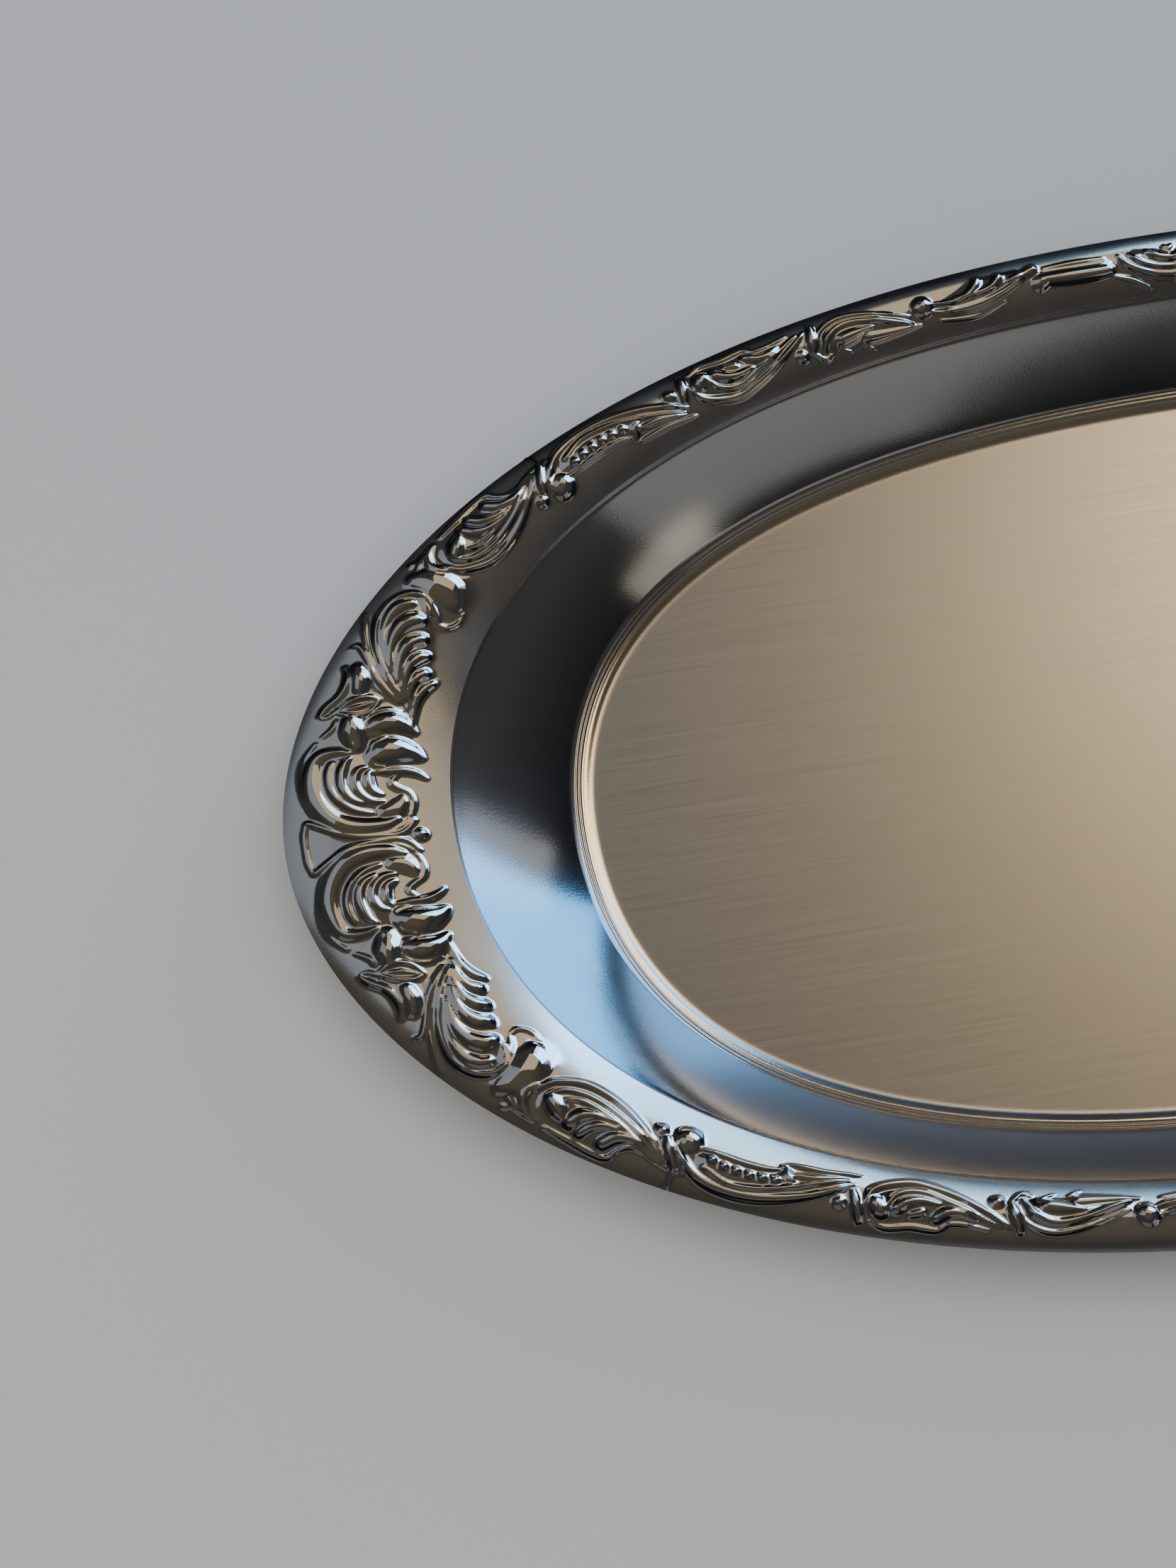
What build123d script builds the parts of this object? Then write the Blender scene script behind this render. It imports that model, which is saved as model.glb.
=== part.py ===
"""Oval vanity tray, pressed in one piece from thin stainless sheet.

Millimetres, +Z up. The origin is on the surface that the tray stands on, under its middle.
X runs along the length and Y across the width. The tray is the same on both sides of both axes.

From the outside in, the sheet makes a trimmed edge, a rounded rim that is wide at the two ends
and narrow on the two long sides, a small step, a sloping wall, a flatter foot, a narrow ledge
and a flat base. The rim's embossed ornament is shallower than the rim itself, and this model keeps
the plain rounded rim under it.
"""

import os
from math import atan2, cos, sin

from build123d import *

os.makedirs("parts", exist_ok=True)

# ---------------------------------------------------------------- driving dimensions
tray_length = 370.0  # over the trimmed edge
tray_width = 197.9  # over the trimmed edge
tray_height = 19.8  # from the table to the top of the rim
sheet = 0.5  # thickness of the sheet

rim_at_ends = 30.4  # trimmed edge to step, on the long axis
rim_at_sides = 12.3  # trimmed edge to step, on the short axis
crest_at_ends = 9.0  # trimmed edge to the top of the rim
crest_at_sides = 4.2
crest_width = 1.2  # flat at the top of the rim, where the inner slope starts
edge_drop = 1.6  # the trimmed edge lies this far under the top of the rim
step_lip_drop = 3.2  # the inner lip of the rim lies this far under its top
step_height = 0.7  # height of the small step inside the rim
step_run = 0.5

wall_at_ends = 22.4  # run of the sloping wall, on the long axis
wall_at_sides = 13.2
wall_swell = 0.05  # how far the wall stands over a straight slope, as a share of its height
foot_height = 0.5  # height of the flatter strip where the wall meets the ledge
foot_run = 1.4
ledge_width = 2.4
ledge_drop = 0.6  # the ledge slopes down this far to the base panel

# Handle lengths of the ovals' curves, at the end point and at the side point. A true ellipse has
# 0.552 for both.
edge_fullness = (0.440, 0.665)
step_fullness = (0.595, 0.635)
base_fullness = (0.612, 0.698)

# ---------------------------------------------------------------- levels of the upper face
# Each level is (half length, half width, height, fullness at the ends, fullness at the sides).
half_length = tray_length / 2
half_width = tray_width / 2
lip_height = tray_height - step_lip_drop
ledge_height = sheet + ledge_drop
foot_top = ledge_height + foot_height
wall_top = lip_height - step_height


def oval_level(in_x, in_y, height, fullness):
    """A level that lies in_x and in_y inside the trimmed edge."""
    return half_length - in_x, half_width - in_y, height, *fullness


def between(start, end, along, down):
    """A level between two others: along is the share of the run, down the share of the fall."""
    shares = (along, along, down, along, along)
    return tuple(a + (b - a) * share for a, b, share in zip(start, end, shares))


edge = oval_level(0, 0, tray_height - edge_drop, edge_fullness)
crest = oval_level(crest_at_ends, crest_at_sides, tray_height, edge_fullness)
inner_in_x = crest_at_ends + crest_width
inner_in_y = crest_at_sides + crest_width
crest_inner = oval_level(inner_in_x, inner_in_y, tray_height, edge_fullness)
lip = oval_level(rim_at_ends, rim_at_sides, lip_height, step_fullness)
step_foot = oval_level(rim_at_ends + step_run, rim_at_sides + step_run, wall_top, step_fullness)

wall_foot_in_x = rim_at_ends + step_run + wall_at_ends
wall_foot_in_y = rim_at_sides + step_run + wall_at_sides
wall_foot = oval_level(wall_foot_in_x, wall_foot_in_y, foot_top, base_fullness)
foot_in_x = wall_foot_in_x + foot_run
foot_in_y = wall_foot_in_y + foot_run
foot = oval_level(foot_in_x, foot_in_y, ledge_height, base_fullness)
base = oval_level(foot_in_x + ledge_width, foot_in_y + ledge_width, sheet, base_fullness)

rim_shares = (0.3, 0.65)
rim_back = [edge, *(between(edge, crest, s, s * (2 - s)) for s in rim_shares), crest]
inner_slope = [between(crest_inner, lip, s, s**1.6) for s in (0.35, 0.7)]
wall_shares = (0.2, 0.4, 0.6, 0.8)
wall_slope = [
    between(step_foot, wall_foot, s, s - wall_swell * 4 * s * (1 - s)) for s in wall_shares
]
well = [crest_inner, *inner_slope, lip, step_foot, *wall_slope, wall_foot, foot, base]


# ---------------------------------------------------------------- helpers
def oval_stack(levels):
    """A solid of ovals, one for each level, joined by straight slopes."""
    with BuildPart() as stack:
        for half_x, half_y, height, at_end, at_side in levels:
            with BuildSketch(Plane.XY.offset(height)):
                with BuildLine():
                    quarter = Bezier(
                        (half_x, 0),
                        (half_x, half_y * at_end),
                        (half_x * at_side, half_y),
                        (0, half_y),
                    )
                    mirror(quarter, about=Plane.YZ)
                    mirror(about=Plane.XZ)
                make_face()
        loft(ruled=True)
    return stack.part


def underside(levels):
    """The sheet's lower face under these levels, one sheet thickness square to the slope."""
    lower = []
    for index, (half_x, half_y, height, *fullness) in enumerate(levels):
        before = levels[max(index - 1, 0)]
        after = levels[min(index + 1, len(levels) - 1)]
        run = (before[0] - after[0] + before[1] - after[1]) / 2
        slope = atan2(before[2] - after[2], run)
        outward = sheet * sin(slope)
        lowered = height - sheet * cos(slope)
        lower.append((half_x + outward, half_y + outward, lowered, *fullness))
    return lower


def moved(level, height):
    """The same oval at another height."""
    return *level[:2], height, *level[3:]


# ---------------------------------------------------------------- the pressed sheet
above_all = tray_height + 1
under_all = -1

# The hollow behind the rim reaches past the trimmed edge, so that the edge is cut square.
past = -0.1
past_edge = between(edge, crest, past, past * (2 - past))
rim_under = underside([past_edge, *rim_back[1:]])
rim_under = [moved(rim_under[0], under_all), *rim_under]

well_under = underside(well)
base_under = moved(well_under[-1], 0)
well_under = [moved(well_under[0], above_all), *well_under[:-1], base_under]
well_under.append(moved(base_under, 2 * under_all))

with BuildPart() as rim_hollow:
    add(oval_stack(rim_under))
    add(oval_stack(well_under), mode=Mode.SUBTRACT)

with BuildPart() as pressed_tray:
    add(oval_stack([moved(edge, 0), *rim_back]))
    add(oval_stack([moved(crest_inner, above_all), *well]), mode=Mode.SUBTRACT)
    add(rim_hollow.part, mode=Mode.SUBTRACT)

pressed_tray.part.label = "pressed_tray"
export_step(pressed_tray.part, "parts/pressed_tray.step")

size = pressed_tray.part.bounding_box().size
print(f"pressed_tray {size.X:.1f} x {size.Y:.1f} x {size.Z:.1f} mm")
print(f"well at the base {2 * base[0]:.1f} x {2 * base[1]:.1f} mm, depth {lip_height - sheet:.1f} mm")
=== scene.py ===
# %% [markdown]
# A pressed oval vanity tray, for somebody who is learning Blender.
#
# The real tray is one thin sheet of stainless steel. A press gives it a wide rounded rim with
# scroll and leaf ornament, a small step, a sloping wall and a flat base. The frame holds the
# plain tray. Here the same sheet gets its ornament, its finishes and a small studio.

# %% Load the frame
from math import cos, pi, radians, sin

import bmesh
import bpy
import numpy as np
from mathutils import Matrix, Vector


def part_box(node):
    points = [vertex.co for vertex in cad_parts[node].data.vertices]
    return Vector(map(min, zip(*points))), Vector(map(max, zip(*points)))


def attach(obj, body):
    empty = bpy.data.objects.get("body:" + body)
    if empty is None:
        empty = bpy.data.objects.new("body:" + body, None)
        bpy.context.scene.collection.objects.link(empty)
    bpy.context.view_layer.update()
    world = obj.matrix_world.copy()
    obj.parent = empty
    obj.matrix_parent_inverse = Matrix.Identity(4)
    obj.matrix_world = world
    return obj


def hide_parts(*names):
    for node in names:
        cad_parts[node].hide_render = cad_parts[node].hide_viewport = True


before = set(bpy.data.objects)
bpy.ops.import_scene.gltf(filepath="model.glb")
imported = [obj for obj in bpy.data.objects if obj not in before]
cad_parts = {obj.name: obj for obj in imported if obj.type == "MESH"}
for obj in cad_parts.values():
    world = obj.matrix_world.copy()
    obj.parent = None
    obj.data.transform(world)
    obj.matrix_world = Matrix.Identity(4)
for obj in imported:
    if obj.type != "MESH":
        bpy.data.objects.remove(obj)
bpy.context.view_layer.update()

mm = 0.001
half_length, half_width, height = (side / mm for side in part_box("pressed_tray")[1])
print(f"tray {2 * half_length:.1f} x {2 * half_width:.1f} x {height:.1f} mm")

# %% [markdown]
# The tray is a stack of ovals. Each quarter of an oval is one smooth curve with four control
# points, which is how a draughtsman would lay it out. The two handle lengths make the oval a
# little fuller or slimmer than a true ellipse. All sizes are millimetres until a mesh is made.

# %% One oval
EDGE_HANDLES = (0.440, 0.665)
STEP_HANDLES = (0.595, 0.635)
BASE_HANDLES = (0.612, 0.698)


def oval(half_x, half_y, handles, t):
    """Points of the quarter oval, from the end of the long axis at t = 0 to the side at t = 1."""
    at_end, at_side = handles
    s = 1 - t
    x = half_x * (s**3 + 3 * s * s * t + 3 * s * t * t * at_side)
    y = half_y * (3 * s * s * t * at_end + 3 * s * t * t + t**3)
    return np.stack([x, y], axis=-1)


quarter_edge = oval(half_length, half_width, EDGE_HANDLES, np.linspace(0, 1, 200))
edge_round = 4 * np.linalg.norm(np.diff(quarter_edge, axis=0), axis=1).sum()
print(f"the trimmed edge is {edge_round:.0f} mm round")

# %% [markdown]
# The sheet bends at eight levels. Each level is an oval at a height. It is given by how far it
# lies inside the trimmed edge, first at the two ends of the tray and then at its two long
# sides. The rim is more than twice as wide at the ends, because the large scrolls sit there.

# %% The levels of the sheet
SHEET = 0.5
EDGE_DROP = 1.6
LIP_DROP = 3.2
STEP_HEIGHT = 0.7
FOOT_HEIGHT = 0.5
LEDGE_DROP = 0.6
CREST_IN = (9.0, 4.2)
CREST_INNER_IN = (10.2, 5.4)
LIP_IN = (30.4, 12.3)
STEP_FOOT_IN = (30.9, 12.8)
WALL_FOOT_IN = (53.3, 26.0)
FOOT_IN = (54.7, 27.4)
BASE_IN = (57.1, 29.8)


def ring(inside, z, handles):
    """An oval level of the sheet's upper face: half length, half width, height, handles."""
    return half_length - inside[0], half_width - inside[1], z, handles


lip_z = height - LIP_DROP
ledge_z = SHEET + LEDGE_DROP
edge = ring((0, 0), height - EDGE_DROP, EDGE_HANDLES)
crest = ring(CREST_IN, height, EDGE_HANDLES)
crest_inner = ring(CREST_INNER_IN, height, EDGE_HANDLES)
lip = ring(LIP_IN, lip_z, STEP_HANDLES)
step_foot = ring(STEP_FOOT_IN, lip_z - STEP_HEIGHT, STEP_HANDLES)
wall_foot = ring(WALL_FOOT_IN, ledge_z + FOOT_HEIGHT, BASE_HANDLES)
foot = ring(FOOT_IN, ledge_z, BASE_HANDLES)
base = ring(BASE_IN, SHEET, BASE_HANDLES)
print(f"base {2 * base[0]:.1f} x {2 * base[1]:.1f} mm, well {lip_z - SHEET:.1f} mm deep")

# %% [markdown]
# The ornament could be sculpted by hand, but a die cutter works from a flat drawing, and so does
# this lesson. The drawing shows one quarter of the rim. Its x runs along the tray and its y
# across it, in millimetres. The ornament starts at the tray's tip, near (166, 0), and ends at the
# middle of the long side, near (-13, 90). A motif is a list of strokes, and a stroke is a ridge:
# its height, and then the points that it runs through, as x, y and half the ridge's width there.
#
# The fan marks the very tip of the tray, where the two halves of the rim meet. It is a thin
# open outline with a small round boss on its inner side. Its strokes stop on the long axis,
# because the mirror image carries them on.

# %% The fan at the tip
FAN = [
    (0.75, [
        (165.6, 4.9, 0.35), (164.6, 4.4, 0.55), (162.4, 3.1, 0.6), (160, 1.7, 0.6),
        (157, 0.8, 0.55), (153.5, 0.45, 0.5), (150, 0.45, 0.5), (148, 1.3, 0.45),
        (146.6, 2.9, 0.35),
    ]),
    (0.55, [(166.4, 0, 0.4), (166.3, 2.5, 0.45), (165.7, 4.8, 0.35)]),
    (1.1, [(146, 0, 1.1), (145.9, 0, 1.1)]),
]
print(f"the fan at the tip: {len(FAN)} strokes")

# %% [markdown]
# The great scroll is the largest motif. A thick round ridge curls up beside the fan, a thin
# line follows it outside, and four shorter ridges nest inside it like the whorls of a shell.

# %% The great scroll
SCROLL = [
    (1.25, [
        (149.5, 3.3, 0.7), (152, 2.5, 1.1), (156, 2.5, 1.45), (159.3, 3.4, 1.6), (161.8, 5.5, 1.65),
        (163.3, 8.2, 1.65), (163.8, 11, 1.65), (163.4, 14, 1.55), (162.3, 16.2, 1.2),
        (160.5, 17.2, 0.9), (158, 17.2, 0.6), (156, 16.6, 0.35),
    ]),
    (0.45, [
        (147.4, 3.1, 0.3), (149.2, 1.9, 0.4), (152, 1, 0.4), (156, 1, 0.4), (160, 1.9, 0.4),
        (163, 4.1, 0.4), (165, 7.5, 0.4), (165.6, 11, 0.4), (165.2, 14.5, 0.4), (164, 17.2, 0.4),
        (161.8, 19.6, 0.3),
    ]),
    (0.8, [
        (154, 4.9, 0.3), (157, 5.9, 0.5), (159.4, 8, 0.65), (160.5, 10.5, 0.7), (160.5, 13, 0.7),
        (159.8, 15, 0.45),
    ]),
    (0.95, [
        (155, 6.8, 0.3), (157, 7.8, 0.6), (158.1, 9.3, 0.85), (158.4, 11, 0.95), (158.1, 13, 0.9),
        (157.2, 14.8, 0.6), (156.2, 15.7, 0.3),
    ]),
    (0.8, [
        (151.5, 6.9, 0.3), (153.5, 7.2, 0.5), (155.2, 8.5, 0.65), (156, 10.3, 0.75),
        (155.8, 12, 0.7), (154.8, 13.3, 0.5), (153.6, 13.5, 0.3),
    ]),
    (0.85, [
        (151.8, 8.2, 0.4), (153.2, 9.1, 0.7), (153.7, 10.6, 0.85), (153.5, 12.1, 0.6),
        (152.9, 12.9, 0.3),
    ]),
    (0.6, [
        (147.2, 3.6, 0.35), (146.3, 6, 0.4), (146.8, 8, 0.45), (148.3, 9, 0.45), (149.4, 9.9, 0.45),
        (149.2, 11, 0.35), (148.3, 11.5, 0.25),
    ]),
    (0.9, [(151.5, 4.9, 1.1), (149.5, 5.3, 1.6), (148.2, 6.3, 1.2), (147.9, 7.4, 0.6)]),
]
print(f"the great scroll: {len(SCROLL)} strokes")

# %% [markdown]
# Plump lobes reach from the scroll towards the well, like the fingers of a hand. They are fat
# strokes, tapered at both ends, with thin veins in the hollows between them.

# %% The fingers beside the scroll
FINGERS = [
    (0.85, [
        (152, 12.6, 0.3), (149.5, 12.4, 0.5), (146.5, 12.2, 0.65), (144.5, 11.4, 0.5),
        (143.2, 10.3, 0.2),
    ]),
    (1.45, [
        (152.1, 15.4, 1), (150.5, 16, 2), (147.8, 16.2, 2.15), (145.4, 15.6, 1.6),
        (143.4, 14.2, 0.4),
    ]),
    (0.65, [
        (150.2, 13.2, 0.25), (152.4, 13.9, 0.38), (153, 15.7, 0.4), (151.8, 17.8, 0.38),
        (149.5, 18.8, 0.25),
    ]),
    (1.3, [
        (152, 20.9, 0.9), (150.5, 21.4, 1.6), (148, 21.6, 1.8), (145.8, 20.9, 1.4),
        (144, 19.2, 0.4),
    ]),
    (0.6, [
        (150.3, 19.3, 0.25), (152.3, 19.9, 0.38), (152.8, 21.6, 0.38), (151.2, 23.5, 0.38),
        (148.5, 24.1, 0.35), (146, 23.4, 0.25),
    ]),
    (1.5, [(154.6, 18.6, 1.8), (154.9, 20.4, 2.3), (155, 22, 1.7)]),
    (0.5, [(160.5, 20.5, 0.3), (158.3, 21.9, 0.45), (157.5, 23.2, 0.3)]),
]
print(f"the fingers beside the scroll: {len(FINGERS)} strokes")

# %% [markdown]
# A narrow almond lies beyond the scroll: two thin lips that meet in points, and a vein
# between them.

# %% The almond
ALMOND = [
    (0.75, [
        (157.3, 24.7, 0.2), (155, 23.7, 0.42), (153, 23.5, 0.42), (151, 24.3, 0.42),
        (149.4, 26, 0.2),
    ]),
    (0.75, [
        (157.3, 24.9, 0.2), (155, 26.2, 0.42), (153, 26.8, 0.42), (151, 26.8, 0.42),
        (149.4, 26.1, 0.2),
    ]),
    (0.5, [(156, 25, 0.2), (153, 25.2, 0.35), (150.5, 25.8, 0.2)]),
]
print(f"the almond: {len(ALMOND)} strokes")

# %% [markdown]
# The lily grows out over the almond. Two long stems run on beside the first leaf, and a round
# bud sits in its mouth.

# %% The lily
LILY = [
    (0.9, [
        (160.3, 24.7, 0.35), (159, 26, 0.6), (156.5, 27.6, 0.65), (154.9, 29.5, 0.65),
        (154.2, 31.5, 0.6), (154.5, 33.4, 0.35),
    ]),
    (0.5, [(160.3, 24.2, 0.2), (158.6, 24.3, 0.4), (157.5, 25.3, 0.3), (158, 26.2, 0.2)]),
    (1.35, [(152.6, 28.6, 1.2), (152.1, 30.6, 1.7), (152.3, 32.4, 1.2)]),
    (0.85, [
        (146, 25.2, 0.35), (148, 28, 0.48), (149.5, 31, 0.5), (150.3, 34, 0.5), (150.9, 36, 0.48),
        (151.7, 37.2, 0.4), (152.7, 37.1, 0.25),
    ]),
    (0.6, [
        (145.4, 25.6, 0.25), (147.3, 28.6, 0.32), (148.7, 31.6, 0.35), (149.5, 34.5, 0.35),
        (149.9, 37, 0.35), (149.9, 40, 0.35), (149.4, 43.6, 0.2),
    ]),
]
print(f"the lily: {len(LILY)} strokes")

# %% [markdown]
# The first acanthus leaf sweeps from the almond to the shoulder of the tray. Its outer ridge
# curls over at the end. Each leaflet starts thin at the stem and swells to a round lip, so
# the widths rise along its stroke. A smooth knuckle closes the leaf.

# %% The first leaf
FIRST_LEAF = [
    (1.05, [
        (145, 25.5, 0.35), (146.9, 29, 0.55), (148, 33, 0.62), (148.3, 36, 0.68), (148, 39, 0.7),
        (147, 41.8, 0.7), (145.1, 44, 0.7), (142.9, 45.3, 0.65), (140.5, 45.6, 0.6),
        (138.6, 44.8, 0.5), (137.3, 43, 0.45), (136.7, 41, 0.4), (136.6, 39.2, 0.2),
    ]),
    (1, [
        (144.4, 20.3, 0.3), (143.6, 23, 0.5), (142.8, 25.2, 0.75), (141.2, 27.2, 0.9),
        (139.4, 28.1, 0.6),
    ]),
    (1.1, [(144.4, 24, 0.3), (143.6, 27, 0.6), (142.3, 29.2, 0.95), (140.5, 30, 1.05)]),
    (1.2, [
        (144.7, 26, 0.3), (144.2, 29.3, 0.65), (143, 31.8, 1), (141.2, 33, 1.15),
        (139.8, 33.2, 0.9),
    ]),
    (1.25, [
        (145.2, 27, 0.3), (145.1, 31, 0.7), (144, 34.2, 1.05), (142, 36, 1.25), (140, 36.4, 1.1),
    ]),
    (1.3, [
        (146, 29, 0.3), (146.2, 33.5, 0.7), (145.4, 37, 1.15), (143.5, 39.3, 1.4),
        (141.2, 40.2, 1.45), (139.7, 40, 1.1),
    ]),
    (1.2, [
        (146.8, 31, 0.3), (147.2, 35, 0.6), (146.8, 38.6, 0.9), (145.2, 41.8, 1.15),
        (143, 43.5, 1.15), (140.9, 43.7, 0.9),
    ]),
    (0.8, [(139.2, 44.2, 0.3), (138.1, 42.6, 0.6), (137.9, 41, 0.45)]),
    (0.55, [(136.5, 39, 0.25), (135, 38.3, 0.4), (133, 39, 0.4), (131.8, 40.8, 0.2)]),
    (1, [(139.8, 48.3, 1.2), (136.6, 47.2, 2.5), (134, 45.2, 2.9), (132.9, 43.2, 1.9)]),
    (0.5, [(139.7, 51.4, 0.5), (139.3, 51.7, 0.5)]),
]
print(f"the first leaf: {len(FIRST_LEAF)} strokes")

# %% [markdown]
# The second leaf springs from a small hook under the knuckle. Three long ridges run side by
# side down its back, and the leaflets turn in against them.

# %% The second leaf
SECOND_LEAF = [
    (0.9, [
        (133.2, 48.9, 0.4), (135.2, 49.5, 0.7), (136.4, 51, 0.85), (136.3, 52.9, 0.7),
        (135.1, 54.9, 0.3),
    ]),
    (0.7, [(138.7, 50.1, 0.3), (138, 51.6, 0.6), (136.9, 53.4, 0.3)]),
    (1.05, [
        (134, 49.9, 0.35), (131, 48.9, 0.6), (128, 49.2, 0.7), (125, 50.2, 0.75), (122, 52.5, 0.72),
        (119.5, 55.3, 0.65), (117.5, 58.4, 0.55), (115.9, 61.7, 0.45), (114.5, 65.5, 0.2),
    ]),
    (0.95, [
        (132, 51, 0.3), (129, 50.7, 0.5), (126.2, 51.7, 0.6), (123.5, 53.6, 0.6),
        (120.9, 56.3, 0.55), (118.6, 59.2, 0.5), (116.7, 62.2, 0.4), (114.9, 65.6, 0.2),
    ]),
    (0.85, [
        (129, 52.5, 0.3), (126.7, 53, 0.45), (124.5, 54.6, 0.5), (121.9, 57.1, 0.5),
        (119.5, 60, 0.45), (117.3, 62.8, 0.35), (115.1, 65.8, 0.2),
    ]),
    (1.2, [(131.6, 51.9, 1.1), (130.9, 53.5, 1.35), (130.4, 55, 0.8)]),
    (1.2, [(121.8, 57.8, 0.3), (124.5, 56.1, 0.7), (127, 55.6, 1), (129.2, 56.4, 1.1)]),
    (1, [(120.8, 59.4, 0.3), (123.5, 58, 0.65), (126, 57.8, 0.8), (128, 58.5, 0.8)]),
    (1.15, [(116.9, 63.6, 0.3), (119.2, 61.3, 0.7), (121.8, 60.3, 1), (124.4, 60.9, 1.05)]),
    (0.7, [
        (133.5, 56.2, 0.3), (130, 59, 0.45), (126.5, 61.8, 0.45), (124, 63.2, 0.42),
        (122.3, 62.5, 0.4), (120, 62.2, 0.38), (118, 63.4, 0.38), (116, 65.5, 0.3),
        (114.3, 67, 0.2),
    ]),
]
print(f"the second leaf: {len(SECOND_LEAF)} strokes")

# %% [markdown]
# A collar ties two leaves together: a round boss, a short bar across the rim and two thin
# ends that fly off. Three such collars divide the long side.

# %% The first collar
FIRST_COLLAR = [
    (1.1, [(113.9, 60, 1), (113.8, 60.1, 1)]),
    (1.2, [(113.3, 61.8, 0.5), (113.4, 64, 0.95), (113.1, 67, 0.6)]),
    (0.6, [(113.3, 67, 0.4), (114.3, 68.6, 0.35), (115.5, 70.2, 0.2)]),
    (0.5, [(113, 67, 0.35), (112, 68.4, 0.25)]),
]
print(f"the first collar: {len(FIRST_COLLAR)} strokes")

# %% [markdown]
# The beaded leaf is long and narrow. It starts at a boss, and its two edges hold a row of
# beads between them. The beads are laid later, by a loop.

# %% The beaded leaf
BEADED_LEAF = [
    (1.5, [(109.8, 62.4, 2.1), (109.5, 62.7, 2.1)]),
    (1.15, [
        (111.7, 61.8, 0.4), (112, 64, 0.62), (111, 67, 0.72), (109, 69.8, 0.78), (105, 72.5, 0.8),
        (100, 74.4, 0.8), (94, 75.4, 0.7), (88, 75.5, 0.5), (84, 74.9, 0.25),
    ]),
    (0.8, [
        (108.6, 67.5, 0.25), (105, 71, 0.42), (100, 72.9, 0.45), (95, 73.6, 0.42), (90, 73.9, 0.38),
        (84.5, 74.1, 0.2),
    ]),
    (0.95, [
        (107.6, 64.6, 0.35), (104.5, 66.4, 0.5), (101.5, 68.1, 0.52), (98, 69.7, 0.48),
        (95.5, 70.3, 0.25),
    ]),
    (1, [(94.6, 69.8, 0.4), (94.5, 71.3, 0.85), (93.9, 72.9, 0.4)]),
    (0.9, [
        (93.6, 69.6, 0.3), (91, 70.7, 0.45), (88, 71.9, 0.45), (84, 73, 0.35), (82.3, 73.5, 0.15),
    ]),
    (1, [(93.2, 71.8, 0.5), (90, 72.8, 0.75), (86.8, 73.4, 0.5), (84.4, 73.7, 0.2)]),
]
print(f"the beaded leaf: {len(BEADED_LEAF)} strokes")

# %% [markdown]
# The second collar is plainer: a boss and a bar.

# %% The second collar
SECOND_COLLAR = [
    (1.1, [(86.9, 77.4, 1.05), (86.8, 77.4, 1.05)]),
    (1.3, [(84.2, 76, 0.5), (84.1, 78.5, 1), (84.3, 81, 0.5)]),
]
print(f"the second collar: {len(SECOND_COLLAR)} strokes")

# %% [markdown]
# From here the rim is narrow, so the leaves are slimmer, with fewer leaflets.

# %% The third leaf
THIRD_LEAF = [
    (1.05, [
        (83, 78.6, 0.35), (81, 76.4, 0.6), (78, 75.8, 0.68), (74, 76.1, 0.7), (71, 77.4, 0.7),
        (67, 79.8, 0.6), (63.5, 82.6, 0.5), (60.5, 85.4, 0.35), (59.4, 86.7, 0.15),
    ]),
    (0.9, [
        (78.9, 79.2, 0.3), (77.5, 78, 0.45), (75, 77.6, 0.55), (72, 78.4, 0.6), (68.5, 80.8, 0.55),
        (65, 83.2, 0.42), (61, 86.2, 0.2),
    ]),
    (1.25, [(81, 78.7, 1.3), (80.3, 79.9, 1.4)]),
    (1.1, [(70.4, 80.8, 0.3), (73, 79.7, 0.7), (75.5, 79.5, 0.95), (77.6, 80.2, 0.95)]),
    (0.8, [(75.4, 81.6, 0.6), (73.6, 81.6, 0.7)]),
    (1.05, [(64.8, 84.4, 0.3), (67.2, 82.8, 0.65), (69.4, 82.4, 0.85), (71.4, 83, 0.85)]),
    (0.7, [
        (82.5, 81.3, 0.25), (80, 82.8, 0.42), (76, 83.4, 0.48), (73.3, 84.3, 0.48),
        (71.3, 84.8, 0.4), (69.5, 84.2, 0.35), (66.5, 84.9, 0.33), (63, 86.4, 0.2),
    ]),
]
print(f"the third leaf: {len(THIRD_LEAF)} strokes")

# %% [markdown]
# The third collar repeats the second one, nearer the middle of the long side.

# %% The third collar
THIRD_COLLAR = [
    (1.1, [(60.5, 81.8, 1.05), (60.4, 81.8, 1.05)]),
    (1.3, [(58.3, 82.5, 0.5), (58.1, 85, 1), (58, 87.5, 0.5)]),
]
print(f"the third collar: {len(THIRD_COLLAR)} strokes")

# %% [markdown]
# The fourth leaf ends in the largest boss of the long side.

# %% The fourth leaf
FOURTH_LEAF = [
    (0.6, [(57.8, 82, 0.3), (56, 81, 0.4), (54.8, 81.7, 0.25)]),
    (1.05, [
        (56.2, 82.1, 0.35), (55.3, 84.7, 0.65), (53, 86.6, 0.72), (50, 87.3, 0.7), (46, 87, 0.6),
        (42, 86.2, 0.48), (38.5, 85.5, 0.25),
    ]),
    (0.8, [
        (57.5, 83, 0.25), (56.6, 86, 0.42), (53.6, 88.1, 0.48), (50, 88.7, 0.48), (45, 88.2, 0.4),
        (39, 86.9, 0.2),
    ]),
    (1.2, [(52.4, 83.9, 1.1), (50.6, 84.5, 1), (48.6, 85.2, 0.65), (46.5, 85.8, 0.25)]),
    (0.45, [(53, 82.5, 0.28), (51, 82, 0.2)]),
    (1, [(47.3, 83.8, 0.9), (45, 84, 0.8), (42, 84.4, 0.6), (38.8, 84.9, 0.38), (36.9, 85.2, 0.2)]),
    (0.4, [(48, 82.6, 0.26), (46.5, 82.1, 0.2)]),
    (1.6, [(36.3, 88.1, 1.85), (36.1, 88.3, 1.85)]),
]
print(f"the fourth leaf: {len(FOURTH_LEAF)} strokes")

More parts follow.
